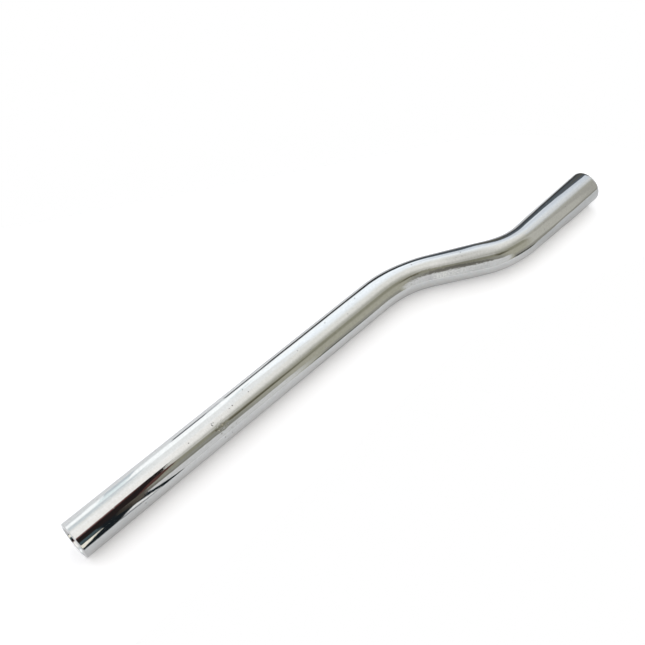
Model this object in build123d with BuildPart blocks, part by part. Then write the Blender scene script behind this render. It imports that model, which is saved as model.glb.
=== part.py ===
from build123d import *
from math import asin, cos, pi, radians, sin
import os

os.makedirs("parts", exist_ok=True)

# Layback bicycle seat post: one steel tube, bent twice and lying on its side
# X runs along the tube from the seat tube end to the saddle end, and Z is up

# Tube, mm
tube_d = 21.15  # outside, 0.833 in
wall = 2.0
seat_tube_run = 218.0  # straight length that slides into the frame

# Bends, with radii to the tube's centreline
bend_angle = 28.5  # the upper bend turns the tube back by the same angle
lower_bend_r = 86.5
upper_bend_r = 70.5
middle_run = 36.0  # straight between the bends
upper_run = 28.0  # straight between the upper bend and the shoulder
lower_bend_loss = 1.7  # width lost in the plane of the bends, where a bend is flattest
upper_bend_loss = 1.3
flattest_at = 0.39  # place of the flattest section along a bend and the straight after it
section_count = 9  # cross-sections along each of the two, evenly spaced

# Saddle end, swelled to the size that a saddle clamp takes
saddle_end_d = 22.2  # outside, 7/8 in
shoulder_run = 12.0
clamp_run = 28.0

# Edges of the two cut ends
seat_tube_end_round = 1.5
saddle_end_break = 0.5
bore_break = 0.3
most_outside = 0.8  # share of the wall that an outer edge's round or break may take
most_inside = 0.15  # share of the wall that the bore's edge break may take

# How the post lies: on the length of its lower run and on its swelled end
tube_r = tube_d / 2
saddle_end_r = saddle_end_d / 2
bend = radians(bend_angle)
both_bends_r = lower_bend_r + upper_bend_r
layback = both_bends_r * (1 - cos(bend)) + middle_run * sin(bend)
straight_ends = seat_tube_run + upper_run + shoulder_run + clamp_run
span = straight_ends + both_bends_r * sin(bend) + middle_run * cos(bend)
lean = asin((saddle_end_r - tube_r) / layback)
seat_tube_end = (-span / 2, (layback * cos(lean) + saddle_end_r - tube_r) / 2, tube_r)
bend_plane = Plane(origin=seat_tube_end, x_dir=(1, 0, 0), z_dir=(0, sin(lean), cos(lean)))


def flattening(along):
    """Share of a bend's loss at a place from 0 to 1 along the bend and the straight after it."""
    reach = along / flattest_at if along < flattest_at else (1 - along) / (1 - flattest_at)
    return sin(pi / 2 * reach) ** 2


def across(line, along):
    """Plane square to a line, with its X standing up from the plane of the bends."""
    return Plane(origin=line @ along, x_dir=bend_plane.z_dir, z_dir=line % along)


def cut_edges(tube, end):
    """Edges of the cut face at one end of the tube along X, from the bore's to the outside's."""
    return tube.faces().sort_by(Axis.X)[end].edges().sort_by(SortBy.RADIUS)


# Centreline of the lower run
with BuildLine(bend_plane) as lower_line:
    Line((0, 0), (seat_tube_run, 0))

# Centreline of the lower bend and the straight above it
with BuildLine(bend_plane) as lower_bend_line:
    lower_arc = JernArc(lower_line.line @ 1, lower_line.line % 1, lower_bend_r, -bend_angle)
    Line(lower_arc @ 1, lower_arc @ 1 + (lower_arc % 1) * middle_run)

# Centreline of the upper bend and the straight above it
with BuildLine(bend_plane) as upper_bend_line:
    upper_arc = JernArc(lower_bend_line.line @ 1, lower_bend_line.line % 1, upper_bend_r, bend_angle)
    Line(upper_arc @ 1, upper_arc @ 1 + (upper_arc % 1) * upper_run)

shoulder_start = upper_bend_line.line @ 1
shoulder_plane = Plane(origin=shoulder_start, x_dir=(1, 0, 0), z_dir=bend_plane.z_dir)

# Outside of the tube first, then its bore, one wall further in
with BuildPart() as seat_post_tube:
    for inset, mode in ((0, Mode.ADD), (wall, Mode.SUBTRACT)):
        run_r = tube_r - inset
        end_r = saddle_end_r - inset

        # Lower run
        with BuildSketch(across(lower_line.line, 0)):
            Circle(run_r)
        extrude(amount=seat_tube_run, mode=mode)

        # Bends, round at both ends of each sweep and flattened between
        for line, loss in (
            (lower_bend_line.line, lower_bend_loss),
            (upper_bend_line.line, upper_bend_loss),
        ):
            for section in range(section_count):
                along = section / (section_count - 1)
                with BuildSketch(across(line, along)):
                    Ellipse(run_r, run_r - loss / 2 * flattening(along))
            sweep(path=line, multisection=True, mode=mode)

        # Shoulder and swelled end
        with BuildSketch(shoulder_plane):
            with BuildLine():
                Polyline(
                    (0, 0),
                    (0, run_r),
                    (shoulder_run, end_r),
                    (shoulder_run + clamp_run, end_r),
                    (shoulder_run + clamp_run, 0),
                    close=True,
                )
            make_face()
        revolve(axis=Axis(shoulder_start, (1, 0, 0)), mode=mode)

    # Outer edge of the seat tube end rounded, of the saddle end broken, and the bore's edges broken
    fillet(cut_edges(seat_post_tube, 0)[-1], radius=min(seat_tube_end_round, most_outside * wall))
    chamfer(cut_edges(seat_post_tube, -1)[-1], length=min(saddle_end_break, most_outside * wall))
    for end in (0, -1):
        chamfer(cut_edges(seat_post_tube, end)[0], length=min(bore_break, most_inside * wall))

seat_post_tube.part.label = "seat_post_tube"
export_step(seat_post_tube.part, "parts/seat_post_tube.step")
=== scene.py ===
"""Layback bicycle seat post, one chromed steel tube with two bends, lying on a white board."""

from math import asin, ceil, cos, exp, pi, radians, sin

import bpy
import numpy as np
from mathutils import Matrix, Vector, noise


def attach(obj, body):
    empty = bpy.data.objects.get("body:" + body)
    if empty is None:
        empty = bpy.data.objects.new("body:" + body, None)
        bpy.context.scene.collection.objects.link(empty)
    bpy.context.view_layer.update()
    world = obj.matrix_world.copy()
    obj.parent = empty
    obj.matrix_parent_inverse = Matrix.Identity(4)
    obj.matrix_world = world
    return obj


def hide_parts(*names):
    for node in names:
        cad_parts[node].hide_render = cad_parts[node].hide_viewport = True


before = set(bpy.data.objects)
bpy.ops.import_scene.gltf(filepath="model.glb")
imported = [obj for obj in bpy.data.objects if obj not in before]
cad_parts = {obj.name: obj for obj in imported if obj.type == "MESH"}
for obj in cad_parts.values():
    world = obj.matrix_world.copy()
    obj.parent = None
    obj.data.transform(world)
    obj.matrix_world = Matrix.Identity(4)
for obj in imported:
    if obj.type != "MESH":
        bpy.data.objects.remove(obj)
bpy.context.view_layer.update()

MM = 0.001

# Sizes of the tube in mm, as its solid has them
TUBE_R = 10.575
SADDLE_END_R = 11.1
WALL = 2.0
SEAT_TUBE_RUN = 218.0
BEND = radians(28.5)
LOWER_BEND_R = 86.5
UPPER_BEND_R = 70.5
MIDDLE_RUN = 36.0
UPPER_RUN = 28.0
SHOULDER_RUN = 12.0
CLAMP_RUN = 28.0
LOWER_BEND_LOSS = 1.7
UPPER_BEND_LOSS = 1.3
FLATTEST_AT = 0.39
SEAT_TUBE_END_ROUND = 1.5
SADDLE_END_BREAK = 0.5
BORE_BREAK = 0.3

# Length that the seat tube end's rounding takes here, shorter than in the solid, in mm
SEAT_TUBE_END_ROLL = 0.7
RING_BEFORE_ROLL = 0.1  # extra ring that keeps the end's shading off the tube

# Swell over the top and far side, where the photograph shows no step
GENTLE_START = 26.0  # mm before the shoulder
GENTLE_RUN = 62.0
GENTLE_SIDE = radians(65)  # its middle round the tube, from the far side up
GENTLE_FROM, GENTLE_TO = -0.5, 0.1  # its fade round the tube, as cosines of the angle from there

# Waves of the drawn and bent skin, only ever inwards, in mm
WAVE_DEPTH = 0.045
WAVE_DEPTH_IN_BENDS = 0.07
WAVE_LENGTH = 26.0
WAVES_ROUND = 1.2  # radius of the tube in the noise
DEEP_WAVES_BEFORE = 10.0  # start of the deeper waves before the lower bend
DEEP_WAVES_FADE = 25.0

# Low ridge that the bending left along the top, in mm and radians
RIDGE_AT, RIDGE_TURN = 295.5, radians(66)
RIDGE_LENGTH, RIDGE_WIDTH = 7.0, radians(12)
RIDGE_HEIGHT = 0.3

# Places along the centreline where the form changes, in mm
LOWER_BEND_END = SEAT_TUBE_RUN + LOWER_BEND_R * BEND
UPPER_BEND_START = LOWER_BEND_END + MIDDLE_RUN
UPPER_BEND_END = UPPER_BEND_START + UPPER_BEND_R * BEND
SHOULDER_START = UPPER_BEND_END + UPPER_RUN
SHOULDER_END = SHOULDER_START + SHOULDER_RUN
LENGTH = SHOULDER_END + CLAMP_RUN

# How the post lies
BOTH_BENDS_R = LOWER_BEND_R + UPPER_BEND_R
LAYBACK = BOTH_BENDS_R * (1 - cos(BEND)) + MIDDLE_RUN * sin(BEND)
SPAN = (
    SEAT_TUBE_RUN + UPPER_RUN + SHOULDER_RUN + CLAMP_RUN
    + BOTH_BENDS_R * sin(BEND) + MIDDLE_RUN * cos(BEND)
)
LEAN = asin((SADDLE_END_R - TUBE_R) / LAYBACK)
START = np.array((-SPAN / 2, (LAYBACK * cos(LEAN) + SADDLE_END_R - TUBE_R) / 2, TUBE_R))
ALONG = np.array((1.0, 0.0, 0.0))
ASIDE = np.array((0.0, cos(LEAN), -sin(LEAN)))
UPRIGHT = np.array((0.0, sin(LEAN), cos(LEAN)))

# Fineness of the mesh, its steps in mm
SEGMENTS = 160
STEP_ALONG = 1.25
STEP_IN_BORE = 6.0
STEPS_ROUND_EDGE = 8


def centre(s):
    """Centreline at a length s from the seat tube end: place, and heading in the bends' plane."""
    x, y, heading = 0.0, 0.0, 0.0
    for length, radius, turn in (
        (SEAT_TUBE_RUN, None, 0),
        (LOWER_BEND_R * BEND, LOWER_BEND_R, -1),
        (MIDDLE_RUN, None, 0),
        (UPPER_BEND_R * BEND, UPPER_BEND_R, 1),
        (LENGTH, None, 0),
    ):
        part = min(s, length)
        if radius is None:
            x += part * cos(heading)
            y += part * sin(heading)
        else:
            turned = heading + turn * part / radius
            x += turn * radius * (sin(turned) - sin(heading))
            y += turn * radius * (cos(heading) - cos(turned))
            heading = turned
        s -= part
        if s <= 0:
            break
    return START + x * ALONG + y * ASIDE, heading


def flattening(along):
    """Share of a bend's loss of width, from 0 to 1 along the bend and the straight after it."""
    if not 0 < along < 1:
        return 0.0
    reach = along / FLATTEST_AT if along < FLATTEST_AT else (1 - along) / (1 - FLATTEST_AT)
    return sin(pi / 2 * reach) ** 2


def smooth(share):
    """Smooth step from 0 to 1."""
    share = min(max(share, 0.0), 1.0)
    return share * share * (3 - 2 * share)


def half_width(s):
    """Half the tube's outside width in the plane of the bends, before the swell, in mm."""
    lower = flattening((s - SEAT_TUBE_RUN) / (UPPER_BEND_START - SEAT_TUBE_RUN))
    upper = flattening((s - UPPER_BEND_START) / (SHOULDER_START - UPPER_BEND_START))
    return TUBE_R - LOWER_BEND_LOSS / 2 * lower - UPPER_BEND_LOSS / 2 * upper


def swell(s, turn):
    """Growth of the radius towards the saddle end, at an angle round the tube, in mm."""
    short = smooth((s - SHOULDER_START) / SHOULDER_RUN)
    gentle = smooth((s - SHOULDER_START + GENTLE_START) / GENTLE_RUN)
    share = smooth((cos(turn - GENTLE_SIDE) - GENTLE_FROM) / (GENTLE_TO - GENTLE_FROM))
    return (SADDLE_END_R - TUBE_R) * (short + (gentle - short) * share)


def waviness(s, turn):
    """Depth of the skin's slight waves at a place on the tube, in mm."""
    bent = smooth((s - SEAT_TUBE_RUN + DEEP_WAVES_BEFORE) / DEEP_WAVES_FADE)
    bent *= smooth((SHOULDER_START - s) / DEEP_WAVES_FADE)
    depth = WAVE_DEPTH + (WAVE_DEPTH_IN_BENDS - WAVE_DEPTH) * bent
    place = Vector((s / WAVE_LENGTH, WAVES_ROUND * cos(turn), WAVES_ROUND * sin(turn)))
    return depth * (0.5 + 0.5 * noise.noise(place))


def ridge(s, turn):
    """Height of the ridge at a place on the tube, in mm."""
    away = ((s - RIDGE_AT) / RIDGE_LENGTH) ** 2 + ((turn - RIDGE_TURN) / RIDGE_WIDTH) ** 2
    return RIDGE_HEIGHT * exp(-away / 2)


def profile():
    """Rings as (s, inset): up the bore, round the saddle end, and back outside to the first end."""
    bore = np.linspace(BORE_BREAK, LENGTH - BORE_BREAK, ceil(LENGTH / STEP_IN_BORE))
    rings = [(s, WALL) for s in bore]
    rings += [(LENGTH, WALL - BORE_BREAK), (LENGTH, SADDLE_END_BREAK)]
    outside = np.linspace(
        LENGTH - SADDLE_END_BREAK, SEAT_TUBE_END_ROLL, ceil(LENGTH / STEP_ALONG)
    )
    rings += [(s, 0.0) for s in outside]
    rings.insert(-1, (SEAT_TUBE_END_ROLL + RING_BEFORE_ROLL, 0.0))
    for step in range(1, STEPS_ROUND_EDGE + 1):
        turn = pi / 2 * step / STEPS_ROUND_EDGE
        rings.append((
            SEAT_TUBE_END_ROLL * (1 - sin(turn)),
            SEAT_TUBE_END_ROUND * (1 - cos(turn)),
        ))
    rings.append((0.0, WALL - BORE_BREAK))
    return rings


def tube_mesh(name):
    """The tube as one closed mesh, in metres.

    Its attribute on_tube keeps each point's place on the straightened tube, and inset its depth
    under the outside, both in mm.
    """
    rings = profile()
    turns = np.linspace(0, 2 * pi, SEGMENTS, endpoint=False)
    points, straightened, insets = [], [], []
    for s, inset in rings:
        middle, heading = centre(s)
        width = half_width(s)
        aside = -sin(heading) * ALONG + cos(heading) * ASIDE
        for turn in turns:
            grown = swell(s, turn) - inset
            if inset == 0:
                grown += ridge(s, turn) - waviness(s, turn)
            out = (width + grown) * cos(turn) * aside
            up = (TUBE_R + grown) * sin(turn) * UPRIGHT
            points.append((middle + out + up) * MM)
            straightened.append((s, (TUBE_R - inset) * cos(turn), (TUBE_R - inset) * sin(turn)))
            insets.append(inset)
    faces = []
    count = len(rings)
    for ring in range(count):
        this, after = ring * SEGMENTS, (ring + 1) % count * SEGMENTS
        for i in range(SEGMENTS):
            j = (i + 1) % SEGMENTS
            faces.append((this + i, this + j, after + j, after + i))
    mesh = bpy.data.meshes.new(name)
    mesh.from_pydata([tuple(p) for p in points], [], faces)
    mesh.validate()
    place = mesh.attributes.new("on_tube", "FLOAT_VECTOR", "POINT")
    place.data.foreach_set("vector", np.array(straightened, np.float32).ravel())
    depth = mesh.attributes.new("inset", "FLOAT", "POINT")
    depth.data.foreach_set("value", np.array(insets, np.float32))
    mesh.polygons.foreach_set("use_smooth", [True] * len(mesh.polygons))
    return mesh


class Tree:
    """Node tree of a new material."""

    def __init__(self, name):
        self.material = bpy.data.materials.new(name)
        self.material.use_nodes = True
        self.nodes = self.material.node_tree.nodes
        self.links = self.material.node_tree.links
        self.nodes.clear()

    def node(self, kind, inputs=None, **settings):
        """New node with its settings. An input given as a socket is linked, and a value is set."""
        made = self.nodes.new("ShaderNode" + kind)
        for name, value in settings.items():
            setattr(made, name, value)
        for key, value in (inputs or {}).items():
            socket = made.inputs[key]
            if isinstance(value, bpy.types.NodeSocket):
                self.links.new(value, socket)
            elif socket.type == "RGBA":
                socket.default_value = (*value, 1)
            else:
                socket.default_value = value
        return made

    def maths(self, operation, first, second=0.0):
        return self.node("Math", {0: first, 1: second}, operation=operation).outputs[0]

    def vector(self, operation, first, second=(0, 0, 0), output="Vector"):
        return self.node("VectorMath", {0: first, 1: second}, operation=operation).outputs[output]

    def between(self, value, start, end, low=0.0, high=1.0):
        """Smooth way from low, where the value is start, to high, where it is end."""
        span = {"Value": value, "From Min": start, "From Max": end, "To Min": low, "To Max": high}
        return self.node("MapRange", span, interpolation_type="SMOOTHSTEP").outputs[0]

    def blend(self, share, first, second):
        """Colour from first to second as share goes from 0 to 1."""
        return self.node("Mix", {0: share, 6: first, 7: second}, data_type="RGBA").outputs[2]

    def noise(self, place, size, detail=2.0):
        """Soft noise about 0.5, its grain this large along and round the tube."""
        scaled = self.vector("MULTIPLY", place, tuple(1 / length for length in size))
        inputs = {"Vector": scaled, "Scale": 1.0, "Detail": detail}
        inputs["Roughness"] = TEXTURE_ROUGHNESS
        return self.node("TexNoise", inputs).outputs[0]

    def finish(self, shader):
        output = self.node("OutputMaterial")
        self.links.new(shader.outputs[0], output.inputs["Surface"])
        return self.material


# Reflectance of the plating, of what its wear lays bare, and of glints painted on specks
CHROMIUM = (0.549, 0.556, 0.554)
PIT_COLOUR = (0.16, 0.15, 0.14)
PAINTED_GLINT_COLOUR = (0.95, 0.9, 0.78)
BARE_STEEL = (0.30, 0.285, 0.27)
RUST = (0.20, 0.105, 0.055)

# Worn places, and one patch of painted darker reflection: mm along the tube, degrees round it with 90
# on top, half length and half width in mm
PITTED = [
    (90.5, 138, 10.0, 10.0),
    (278.5, 102, 5.0, 4.5),
    (342.0, 112, 2.5, 2.0),
    (36.0, 160, 3.0, 3.0),
]
SCUFFED = [
    (258.0, 137, 16.0, 4.5),
    (243.0, 143, 8.0, 3.0),
    (91.0, 130, 5.0, 5.0),
    (278.0, 152, 34.0, 4.5),
]
# Patch whose plating is painted darker, as a painted darker reflection
PAINTED_DARK_PATCH = [(284.0, 117, 26.0, 6.0)]

# Single spots, dark pits and specks with painted glints: mm along the tube, degrees round it, radius
# in mm
DARK_SPOTS = [(102.4, 101.5, 0.55), (342.2, 113, 0.5), (365.0, 122, 0.4), (152.0, 96, 0.35)]
PAINTED_GLINT_SPOTS = [(91.4, 127.5, 0.5), (88.2, 134, 0.4)]

# Part of a worn place or spot, from its middle out, that doesn't fade
FULL_PART = 0.35

# Size of each texture of the surface along and round the tube, in mm
GRAIN = (0.5, 1.5, 1.5)
MOTTLE = (2.6, 1.8, 1.8)
CLOUD = (30.0, 6.0, 6.0)
CRUMPLE = (1.7, 1.1, 1.1)
RUST_PATCHES = (5.0, 4.0, 4.0)
TEXTURE_ROUGHNESS = 0.55

# Spans of these textures, about 0.5, that the surface answers to
MOTTLE_SPAN = (0.3, 0.7)
CLOUD_SPAN = (0.3, 0.6)
RUST_SPAN = (0.5, 0.68)

# Pits, at most one in each cell of a loose grid
PIT_CELLS_PER_MM = 0.7
PITLESS = 0.985  # share of the cells without a pit
PIT_CROWDING = 0.45  # how much smaller that share is where the plating is pitted
PIT_RIM, PIT_FLOOR = 0.3, 0.12  # distances from the middle of its cell, in cells
PIT_DARKNESS = 0.85

# Shade of the plating and what changes it, as shares of its reflectance
PLAIN_SHADE = 0.9
GRAIN_SHADE = 0.2
MOTTLE_SHADE = 0.12
CLOUD_SHADE = 0.08
# Painted darker reflection over that patch, its least and most, as shares of the reflectance
PAINTED_DARKENING_LEAST, PAINTED_DARKENING_MOST = 0.1, 0.21

# Roughness of the plating, and what scuffs, spots and bare steel add to it
ROUGHNESS_LEAST, ROUGHNESS_MOST = 0.025, 0.055
SCUFF_ROUGHNESS = 0.05
SPOT_ROUGHNESS = 0.35
BARE_ROUGHNESS = 0.4

# Surface of the bore
PLATED_FOR, BARE_FROM = 3.0, 20.0  # mm from an end, between which the plating gives out
BORE_SKIN = 0.2  # mm of inset over which the bore's surface starts
RUST_DULLNESS = 0.8

# Height of the skin's fine relief, in mm
GRAIN_RELIEF = 0.0015
MOTTLE_RELIEF = 0.009
CRUMPLE_RELIEF = 0.1
PIT_DEPTH = 0.08
RUST_RELIEF = 0.05


def around(tree, place, s, degrees, half_length, half_width):
    """Share that is 1 at a place on the tube's skin and 0 from these distances on."""
    middle = (s, TUBE_R * cos(radians(degrees)), TUBE_R * sin(radians(degrees)))
    away = tree.vector("SUBTRACT", place, middle)
    scale = (1 / half_length, 1 / half_width, 1 / half_width)
    away = tree.vector("MULTIPLY", away, scale)
    return tree.between(tree.vector("LENGTH", away, output="Value"), 1.0, FULL_PART)


def most(tree, shares):
    """Largest of several shares."""
    largest = shares[0]
    for share in shares[1:]:
        largest = tree.maths("MAXIMUM", largest, share)
    return largest


def chrome():
    """Bright chromium plate with fine grain, faint mottling, pits and scuffs, painted glints on
    specks, a patch painted darker as a darker reflection, and a bare bore.
    """
    tree = Tree("chromed_steel")
    place = tree.node("Attribute", attribute_name="on_tube").outputs["Vector"]
    inset = tree.node("Attribute", attribute_name="inset").outputs["Fac"]
    along = tree.node("SeparateXYZ", {0: place}).outputs[0]

    grain = tree.noise(place, GRAIN, 2.0)
    mottle = tree.noise(place, MOTTLE, 3.0)
    cloud = tree.noise(place, CLOUD, 2.0)
    crumple = tree.noise(place, CRUMPLE, 2.0)

    pitted = most(tree, [around(tree, place, *zone) for zone in PITTED])
    scuffed = most(tree, [around(tree, place, *zone) for zone in SCUFFED])
    painted_dark_patch = most(tree, [around(tree, place, *zone) for zone in PAINTED_DARK_PATCH])
    dark_spot = most(tree, [around(tree, place, s, turn, r, r) for s, turn, r in DARK_SPOTS])
    # Painted highlights: specks of the plating given a bright cream colour as glints
    painted_glint = most(tree, [around(tree, place, s, turn, r, r) for s, turn, r in PAINTED_GLINT_SPOTS])

    cells = tree.vector("MULTIPLY", place, (PIT_CELLS_PER_MM,) * 3)
    cell = tree.node("TexVoronoi", {"Vector": cells, "Scale": 1.0})
    chance = tree.node("SeparateColor", {0: cell.outputs["Color"]}).outputs[0]
    limit = tree.maths("SUBTRACT", PITLESS, tree.maths("MULTIPLY", pitted, PIT_CROWDING))
    chosen = tree.maths("GREATER_THAN", chance, limit)
    pit = tree.between(cell.outputs["Distance"], PIT_RIM, PIT_FLOOR)
    pit = tree.maths("MULTIPLY", pit, chosen)
    pit = tree.maths("MAXIMUM", pit, dark_spot)

    shade = tree.maths("MULTIPLY_ADD", grain, GRAIN_SHADE)
    shade.node.inputs[2].default_value = PLAIN_SHADE
    for share, amount in ((mottle, MOTTLE_SHADE), (cloud, CLOUD_SHADE)):
        change = tree.maths("MULTIPLY", tree.maths("SUBTRACT", share, 0.5), amount)
        shade = tree.maths("ADD", shade, change)
    # Painted darker reflection: the patch's reflectance is lowered
    painted_darkening = tree.between(cloud, *CLOUD_SPAN, PAINTED_DARKENING_LEAST, PAINTED_DARKENING_MOST)
    shade = tree.maths("SUBTRACT", shade, tree.maths("MULTIPLY", painted_dark_patch, painted_darkening))
    colour = tree.vector("SCALE", CHROMIUM)
    tree.links.new(shade, colour.node.inputs["Scale"])
    colour = tree.blend(tree.maths("MULTIPLY", pit, PIT_DARKNESS), colour, PIT_COLOUR)
    # Painted glints laid over the plating's colour
    colour = tree.blend(painted_glint, colour, PAINTED_GLINT_COLOUR)

    spotted = tree.maths("MAXIMUM", pit, painted_glint)
    rough = tree.between(mottle, *MOTTLE_SPAN, ROUGHNESS_LEAST, ROUGHNESS_MOST)
    rough = tree.maths("ADD", rough, tree.maths("MULTIPLY", scuffed, SCUFF_ROUGHNESS))
    rough = tree.maths("ADD", rough, tree.maths("MULTIPLY", spotted, SPOT_ROUGHNESS))

    from_end = tree.maths("MINIMUM", along, tree.maths("SUBTRACT", LENGTH, along))
    in_bore = tree.between(inset, WALL - BORE_SKIN, WALL)
    unplated = tree.maths("MULTIPLY", in_bore, tree.between(from_end, PLATED_FOR, BARE_FROM))
    rust = tree.between(tree.noise(place, RUST_PATCHES, 4.0), *RUST_SPAN)
    colour = tree.blend(unplated, colour, tree.blend(rust, BARE_STEEL, RUST))
    rough = tree.maths("ADD", rough, tree.maths("MULTIPLY", unplated, BARE_ROUGHNESS))
    dull = tree.maths("MULTIPLY", unplated, tree.maths("MULTIPLY", rust, RUST_DULLNESS))
    metallic = tree.maths("SUBTRACT", 1.0, dull)

    height = tree.maths("MULTIPLY", grain, GRAIN_RELIEF)
    for share, amount in (
        (mottle, MOTTLE_RELIEF),
        (tree.maths("MULTIPLY", crumple, scuffed), CRUMPLE_RELIEF),
        (pit, -PIT_DEPTH),
        (tree.maths("MULTIPLY", rust, unplated), RUST_RELIEF),
    ):
        height = tree.maths("ADD", height, tree.maths("MULTIPLY", share, amount))
    relief = tree.node("Bump", {"Height": height, "Distance": MM})

    shader = tree.node("BsdfPrincipled", {
        "Base Color": colour,
        "Metallic": metallic,
        "Roughness": rough,
        "Normal": relief.outputs["Normal"],
    })
    return tree.finish(shader)


tube = bpy.data.objects.new("chromed_tube", tube_mesh("chromed_tube"))
bpy.context.scene.collection.objects.link(tube)
tube.data.materials.append(chrome())
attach(tube, "root")
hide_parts("seat_post_tube")


# Studio of soft cards that only the chrome shows, and a white board under the post
def glow(name, colour, *grades):
    """Glowing material.

    Its colour is its radiance, where 1 is white. Each grade, (direction, start, end, other), turns
    it smoothly to another colour between two distances along a direction of the room.
    """
    tree = Tree(name)
    place = tree.node("TexCoord").outputs["Object"]
    for direction, start, end, other in grades:
        distance = tree.vector("DOT_PRODUCT", place, direction, "Value")
        colour = tree.blend(tree.between(distance, start, end), colour, other)
    return tree.finish(tree.node("Emission", {"Color": colour}))


def card(name, corners, material):
    """Flat card with these corners in metres, seen in reflections and not by the camera."""
    mesh = bpy.data.meshes.new(name)
    mesh.from_pydata(corners, [], [tuple(range(len(corners)))])
    mesh.materials.append(material)
    obj = bpy.data.objects.new(name, mesh)
    bpy.context.scene.collection.objects.link(obj)
    obj.visible_camera = False
    return obj


def level_card(name, z, corners, material):
    """Card lying level, its corners as (x, y)."""
    return card(name, [(x, y, z) for x, y in corners], material)


def upright_card(name, y, corners, material):
    """Card standing square to Y, its corners as (x, z)."""
    return card(name, [(x, y, z) for x, z in corners], material)


# Directions of the room along which a colour may grade
X, Y, Z = (1, 0, 0), (0, 1, 0), (0, 0, 1)
NEARBY = (0.4, -1, 0)
SLOPING = (1, 0, -0.4)

# Radiance of the larger cards, where 1 is white
WARM = (1.49, 1.45, 1.41)
CREAM = (1.24, 1.22, 1.16)
BLUISH = (1.50, 1.57, 1.65)
SLATE = (1.02, 1.09, 1.19)
KHAKI = (0.595, 0.58, 0.475)
PALE_KHAKI = (0.64, 0.63, 0.55)

# Planes that the cards lie in, in metres, and the gap that layers cards of one plane
CEILING_Z = 1.6
SIDE_X = -1.5
WINDOW_Y = 1.3
FAR_Y = 0.9
WALL_Y = -0.92
NEAR_Y = -0.3
LAYER = 0.001

# Ceiling and side wall
level_card("ceiling", CEILING_Z, [(-2.5, WALL_Y), (3, WALL_Y), (3, 2.5), (-2.5, 2.5)],
           glow("ceiling", WARM, (X, 0.1, 0.75, CREAM), (Y, 0.0, 1.05, BLUISH),
                (X, 1.2, 2.1, SLATE), (NEARBY, 0.42, 1.28, PALE_KHAKI)))
level_card("ceiling_end", CEILING_Z - 5 * LAYER,
           [(1.38, WALL_Y), (3, WALL_Y), (3, 0.05), (1.38, 0.05)],
           glow("ceiling_end", (1.07, 1.09, 1.11), (Y, 0.0, -0.75, (0.62, 0.61, 0.54))))
level_card("ceiling_haze", CEILING_Z - 10 * LAYER,
           [(-2.5, 0.45), (0.8, 0.45), (0.75, 1.3), (-2.5, 1.3)],
           glow("ceiling_haze", (1.45, 1.42, 1.38), (Y, 0.45, 1.15, (1.03, 1.09, 1.12)),
                (X, 0.0, 0.3, (1.37, 1.38, 1.38))))
card("side_wall", [(SIDE_X, WALL_Y, -0.4), (SIDE_X, WINDOW_Y, -0.4),
                   (SIDE_X, WINDOW_Y, CEILING_Z), (SIDE_X, WALL_Y, CEILING_Z)],
     glow("side_wall", (1.35, 1.33, 1.3)))

# Window on the far side, with its haze, bars and sill
upright_card("window", WINDOW_Y, [(SIDE_X, -0.9), (2.6, -0.9), (2.6, CEILING_Z), (SIDE_X, CEILING_Z)],
             glow("window", (1.72, 1.75, 1.77), (X, 0.35, 0.9, (1.58, 1.66, 1.74)),
                  (X, 1.25, 1.85, SLATE), (Z, 0.52, 0.2, (1.17, 1.2, 1.22))))
upright_card("window_haze", WINDOW_Y - 10 * LAYER,
             [(SIDE_X, 0.95), (0.2, 0.95), (0.2, CEILING_Z), (SIDE_X, CEILING_Z)],
             glow("window_haze", (1.65, 1.67, 1.68), (Z, 0.95, 1.35, (1.0, 1.07, 1.11))))
upright_card("window_haze_2", WINDOW_Y - 9 * LAYER,
             [(0.2, 1.25), (0.66, 1.3), (0.66, CEILING_Z), (0.2, CEILING_Z)],
             glow("window_haze_2", (1.6, 1.64, 1.66), (Z, 1.25, 1.45, (1.36, 1.39, 1.4))))
upright_card("window_bar", WINDOW_Y - 20 * LAYER,
             [(0.0, 0.1), (0.078, 0.1), (0.086, 0.62), (0.105, 1.1), (0.02, 1.1)],
             glow("window_bar", (1.28, 1.42, 1.46), (Z, 0.7, 0.45, (0.9, 0.97, 1.02)),
                  (Z, 0.25, 0.05, (1.12, 1.15, 1.17))))
upright_card("window_sill", WINDOW_Y - 15 * LAYER,
             [(-0.6, 0.1), (-0.045, 0.1), (-0.04, 0.55), (-0.6, 0.55)],
             glow("window_sill", (1.14, 1.17, 1.19), (Z, 0.38, 0.55, (1.6, 1.62, 1.64))))
upright_card("window_bar_2", WINDOW_Y - 20 * LAYER,
             [(0.43, 0.8), (0.48, 0.8), (0.54, 1.3), (0.48, 1.3)],
             glow("window_bar_2", (1.3, 1.38, 1.42)))

# Dark shapes in front of the window
upright_card("far_dark_1", FAR_Y, [(0.084, 0.085), (0.155, 0.085), (0.158, 0.26), (0.088, 0.275)],
             glow("far_dark_1", (0.21, 0.21, 0.235)))
upright_card("far_grey", FAR_Y, [(0.155, 0.02), (0.187, 0.02), (0.187, 0.22), (0.158, 0.25)],
             glow("far_grey", (0.82, 0.84, 0.87)))
upright_card("far_dark_2", FAR_Y,
             [(0.19, 0.0), (0.28, -0.02), (0.34, -0.2), (0.45, -0.9), (4.0, -0.9),
              (4.0, CEILING_Z), (2.0, 1.3), (1.6, 1.05), (1.47, 0.94), (1.32, 0.81), (1.24, 0.7),
              (1.15, 0.61), (1.05, 0.53), (0.9, 0.43), (0.74, 0.345), (0.61, 0.28),
              (0.56, 0.225), (0.5, 0.178), (0.3, 0.172), (0.2, 0.207)],
             glow("far_dark_2", (0.42, 0.43, 0.45), (X, 0.25, 0.42, (0.075, 0.077, 0.088)),
                  (X, 0.65, 0.95, (0.15, 0.175, 0.205)), (Z, 0.45, -0.1, (0.08, 0.083, 0.085)),
                  (X, 1.13, 1.22, (0.15, 0.147, 0.128)), (Z, 0.48, 0.66, (0.15, 0.17, 0.2))))

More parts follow.
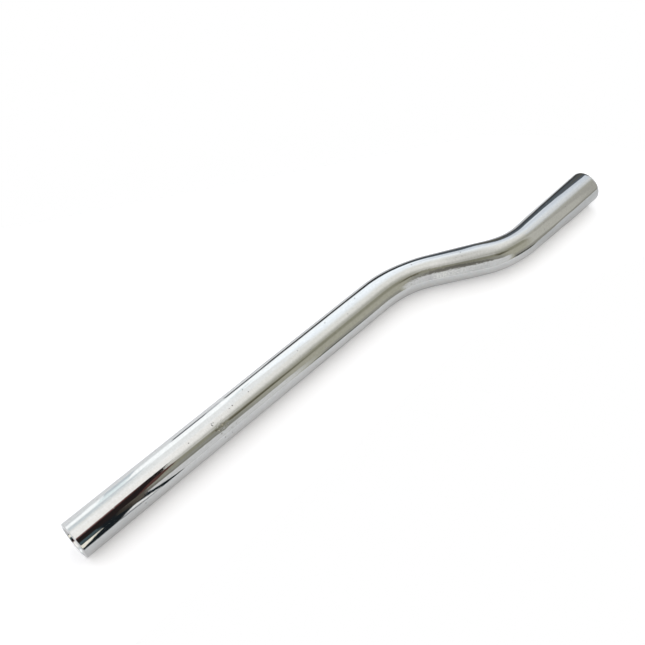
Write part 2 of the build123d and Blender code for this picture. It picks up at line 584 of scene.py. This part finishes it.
# Khaki wall on the near side, with what stands and hangs in front of it
upright_card("khaki_wall", WALL_Y, [(-0.3, -0.35), (3, -0.35), (3, CEILING_Z), (-0.3, CEILING_Z)],
             glow("khaki_wall", KHAKI, (X, 0.42, 0.2, (0.42, 0.415, 0.37)),
                  (Z, 0.5, 0.9, (0.42, 0.405, 0.315)), (Z, 1.1, 1.55, PALE_KHAKI),
                  (SLOPING, 0.5, 0.72, (0.73, 0.715, 0.645)),
                  (SLOPING, 0.95, 1.05, (0.6, 0.585, 0.53)),
                  (Z, 0.15, -0.04, (0.44, 0.43, 0.38))))
upright_card("wall_top", WALL_Y + 5 * LAYER,
             [(-0.3, 1.05), (0.62, 1.05), (0.62, CEILING_Z), (-0.3, CEILING_Z)],
             glow("wall_top", (0.42, 0.405, 0.33), (Z, 1.08, 1.5, (0.93, 0.91, 0.85)),
                  (X, 0.38, 0.62, (0.55, 0.535, 0.46))))
upright_card("grey_block", WALL_Y + 10 * LAYER,
             [(-0.3, -0.35), (0.41, -0.35), (0.41, 0.2), (0.32, 0.245), (0.24, 0.24),
              (0.18, 0.275), (0.08, 0.31), (0.02, 0.345), (-0.06, 0.345), (-0.1, 0.38),
              (-0.3, 0.38)],
             glow("grey_block", (0.92, 0.92, 0.92), (X, 0.02, -0.03, (0.84, 0.84, 0.84)),
                  (X, 0.15, 0.25, (0.93, 0.93, 0.92)), (Z, 0.1, 0.18, (0.96, 0.96, 0.96)),
                  (X, -0.086, -0.1, (1.12, 1.12, 1.09)), (X, 0.31, 0.41, (0.57, 0.56, 0.46)),
                  (Z, 0.3, 0.37, (0.42, 0.41, 0.36))))
upright_card("shelf_shade", WALL_Y + 8 * LAYER,
             [(-0.3, 0.34), (0.2, 0.34), (0.26, 0.42), (0.06, 0.5), (0.03, 0.8), (-0.3, 0.85)],
             glow("shelf_shade", (0.24, 0.23, 0.20), (X, 0.02, 0.1, (0.36, 0.35, 0.3))))
upright_card("olive_streak", WALL_Y + 6 * LAYER,
             [(0.27, 0.68), (0.62, 0.8), (0.62, 1.02), (0.27, 1.0)],
             glow("olive_streak", (0.19, 0.175, 0.125), (X, 0.4, 0.58, (0.38, 0.365, 0.28))))

# Dark shapes on the near side, by the camera, with their patches and gaps
black = glow("near_black", (0.017, 0.023, 0.027), (Z, 0.17, 0.3, (0.029, 0.021, 0.02)))
upright_card("near_dark", NEAR_Y,
             [(-0.14, 0.13), (-0.105, 0.13), (-0.09, 0.22), (-0.075, 0.3), (-0.045, 0.4),
              (-0.02, 0.5), (0.0, 0.6), (0.02, 0.7), (0.035, 0.76), (0.055, 0.8), (0.058, 0.92),
              (0.02, 0.97), (-0.02, 0.94), (-0.05, 0.87), (-0.08, 0.81), (-0.13, 0.74),
              (-0.2, 0.71), (-1.4, 0.58), (-1.4, 0.22)],
             black)
upright_card("red_edge", NEAR_Y + LAYER,
             [(-1.4, 0.45), (-0.13, 0.58), (-0.08, 0.62), (-0.03, 0.7), (0.0, 0.8), (0.0, 0.95),
              (-0.05, 0.87), (-0.08, 0.81), (-0.13, 0.74), (-0.2, 0.71), (-1.4, 0.58)],
             glow("red_edge", (0.26, 0.13, 0.125), (X, -0.09, -0.03, (0.16, 0.07, 0.065))))
upright_card("near_dark_strip_1", NEAR_Y,
             [(-1.0, -0.12), (-0.137, -0.045), (-0.129, -0.025), (-0.1255, 0.012),
              (-0.1215, 0.035), (-0.1175, 0.054), (-0.112, 0.075), (-0.104, 0.14), (-0.145, 0.14),
              (-0.148, 0.11), (-0.154, 0.09), (-0.162, 0.045), (-0.168, 0.018), (-1.0, -0.02)],
             black)
upright_card("near_dark_strip_2", NEAR_Y,
             [(-0.118, 0.065), (-0.11, 0.042), (-0.1, 0.008), (-0.0895, -0.035), (-0.0845, -0.08),
              (-0.077, -0.117), (-0.058, -0.124), (-0.058, -0.082), (-0.064, -0.05),
              (-0.071, -0.034), (-0.0795, -0.002), (-0.0885, 0.033), (-0.0955, 0.072),
              (-0.098, 0.14)],
             black)
upright_card("ivory_gap", NEAR_Y - 10 * LAYER,
             [(-1.0, -0.03), (-0.14, 0.02), (-0.13, 0.15), (-1.0, 0.15)],
             glow("ivory_gap", (1.4, 1.34, 1.18)))
upright_card("teal_patch", NEAR_Y + LAYER,
             [(-1.0, 0.12), (-0.145, 0.15), (-0.143, 0.26), (-1.0, 0.26)],
             glow("teal_patch", (0.095, 0.135, 0.15)))
upright_card("brown_patch", NEAR_Y + LAYER,
             [(-0.098, 0.24), (-0.075, 0.25), (-0.02, 0.4), (-0.022, 0.47), (-0.055, 0.42),
              (-0.085, 0.3)],
             glow("brown_patch", (0.14, 0.065, 0.058)))
upright_card("umber_patch", NEAR_Y + 2 * LAYER,
             [(-0.13, 0.15), (-0.116, 0.06), (-0.104, 0.07), (-0.1, 0.137), (-0.088, 0.235),
              (-0.12, 0.25)],
             glow("umber_patch", (0.06, 0.052, 0.044), (X, -0.12, -0.105, (0.15, 0.13, 0.105))))
upright_card("haze_over_strip_1", NEAR_Y - 2 * LAYER,
             [(-0.6, -0.14), (-0.115, -0.14), (-0.122, -0.02), (-0.6, -0.02)],
             glow("haze_over_strip_1", (0.78, 0.79, 0.81), (X, -0.15, -0.118, (0.94, 0.95, 0.96))))
# Painted shadow: a grey band that stands for shade between the two dark strips
upright_card("painted_shadow_between_strips", NEAR_Y - LAYER,
             [(-0.132, -0.06), (-0.112, -0.075), (-0.1, -0.11), (-0.085, -0.105), (-0.09, -0.06),
              (-0.104, -0.055), (-0.115, -0.025), (-0.13, -0.025)],
             glow("painted_shadow_between_strips", (0.42, 0.43, 0.45)))
upright_card("gap_between_strips", NEAR_Y - LAYER / 2,
             [(-0.124, 0.0), (-0.122, 0.025), (-0.116, 0.045), (-0.111, 0.04), (-0.104, 0.005),
              (-0.097, -0.025), (-0.096, -0.045), (-0.103, -0.04), (-0.109, -0.022),
              (-0.118, -0.01)],
             glow("gap_between_strips", (1.24, 1.24, 1.22)))

# Shade past the board's near edge, just under it
edge_shade = glow("edge_shade", (0.15, 0.148, 0.13))
level_card("edge_shade_1", -LAYER,
           [(-0.02, -0.042), (0.046, -0.04), (0.049, -0.048), (0.043, -0.062), (0.03, -0.085),
            (0.0, -0.07)],
           edge_shade)
level_card("edge_shade_2", -LAYER,
           [(0.124, -0.06), (0.155, -0.064), (0.166, -0.08), (0.178, -0.12), (0.15, -0.13),
            (0.132, -0.1)],
           edge_shade)

# Paper of the board, plain and with painted shade where the chrome shows it, and its lift towards
# white
PAPER = (0.875, 0.88, 0.91)
PAPER_IN_PAINTED_SHADE = (0.47, 0.48, 0.50)
LIFT_SEEN = 0.3
LIFT_IN_CHROME = 0.11

# Spans in metres over which shade is painted on the paper as the chrome shows it, some with the
# shares that they dim from and to
NEAR_SIDE_Y = (0.02, 0.0)
PAST_SEAT_TUBE_END_X = (-0.13, -0.165, 0.0, 0.28)
PAST_SADDLE_END_X = (0.11, 0.16, 0.0, 0.55)
FAR_SIDE_Y = (0.11, 0.045)
AT_LOWER_BEND_X = (-0.07, -0.05, 0.0, 0.55)
AT_UPPER_BEND_X = (0.04, 0.07, 0.0, 0.45)
BEFORE_SADDLE_END_X = (0.19, 0.165)


def board_material():
    """White paper that the camera sees as white, and the chrome as a little darker, with painted
    shade past the post's ends and by its bends.
    """
    tree = Tree("white_board")
    path = tree.node("LightPath").outputs
    place = tree.node("TexCoord").outputs["Object"]
    x, y, _ = tree.node("SeparateXYZ", {0: place}).outputs

    near = tree.between(y, *NEAR_SIDE_Y)
    past_ends = tree.maths("MAXIMUM", tree.between(x, *PAST_SEAT_TUBE_END_X),
                           tree.between(x, *PAST_SADDLE_END_X))
    at_bends = tree.maths("ADD", tree.between(x, *AT_LOWER_BEND_X),
                          tree.between(x, *AT_UPPER_BEND_X))
    at_bends = tree.maths("MULTIPLY", at_bends, tree.between(x, *BEFORE_SADDLE_END_X))
    far = tree.between(y, *FAR_SIDE_Y)
    far = tree.maths("MULTIPLY", far, tree.maths("SUBTRACT", 1.0, near))
    far = tree.maths("MULTIPLY", at_bends, far)
    # Painted shade: the paper is darker in reflections only, standing in for shadow near the post
    painted_shade = tree.maths("ADD", tree.maths("MULTIPLY", near, past_ends), far)
    painted_shade = tree.maths("MULTIPLY", painted_shade, path["Is Glossy Ray"])
    paper = tree.node("BsdfDiffuse", {"Color": tree.blend(painted_shade, PAPER, PAPER_IN_PAINTED_SHADE)})

    seen = tree.maths("MAXIMUM", path["Is Camera Ray"], path["Is Transmission Ray"])
    lift = tree.maths("MULTIPLY", seen, LIFT_SEEN)
    lift_in_chrome = tree.maths("MULTIPLY", path["Is Glossy Ray"], LIFT_IN_CHROME)
    lift = tree.maths("ADD", lift, lift_in_chrome)
    lift = tree.node("Emission", {"Color": (1, 1, 1), "Strength": lift})
    return tree.finish(tree.node("AddShader", {0: paper.outputs[0], 1: lift.outputs[0]}))


board = level_card("board", 0,
                   [(-1.2, -0.036), (0.05, -0.038), (0.12, -0.064), (0.15, -0.066),
                    (0.18, -0.078), (0.2, -0.09), (0.24, -0.125), (0.32, -0.15), (0.35, -0.1),
                    (0.27, -0.02), (0.235, 0.04), (0.2, 0.075), (-0.1, 0.24), (-0.3, 1.2),
                    (-1.2, 1.2)],
                   board_material())
board.visible_camera = True

# Plain white surroundings
world = bpy.data.worlds.new("studio")
world.use_nodes = True
world.node_tree.nodes["Background"].inputs["Color"].default_value = (1, 1, 1, 1)
world.node_tree.nodes["Background"].inputs["Strength"].default_value = 1.0
bpy.context.scene.world = world

# Camera, fitted to the outline of the post in the photograph, its place in mm
CAMERA_PLACE = (-230.27, -180.32, 385.76)
CAMERA_AZIMUTH = radians(-46.192)
CAMERA_PITCH = radians(51.362)
CAMERA_ROLL = 0.01015
CAMERA_LENS = 45.312
CAMERA_CLIP_START = 0.01

looking = Vector((
    -sin(CAMERA_AZIMUTH) * cos(CAMERA_PITCH),
    cos(CAMERA_AZIMUTH) * cos(CAMERA_PITCH),
    -sin(CAMERA_PITCH),
))
right = Vector((cos(CAMERA_AZIMUTH), sin(CAMERA_AZIMUTH), 0))
up = right.cross(looking)
rolled_right = right * cos(CAMERA_ROLL) + up * sin(CAMERA_ROLL)
rolled_up = up * cos(CAMERA_ROLL) - right * sin(CAMERA_ROLL)
turned = Matrix((rolled_right, rolled_up, -looking)).transposed().to_4x4()

camera_data = bpy.data.cameras.new("camera")
camera_data.lens = CAMERA_LENS
camera_data.clip_start = CAMERA_CLIP_START
camera = bpy.data.objects.new("camera", camera_data)
bpy.context.scene.collection.objects.link(camera)
camera.matrix_world = Matrix.Translation(Vector(CAMERA_PLACE) * MM) @ turned
bpy.context.scene.camera = camera
bpy.context.scene.view_settings.view_transform = "Standard"
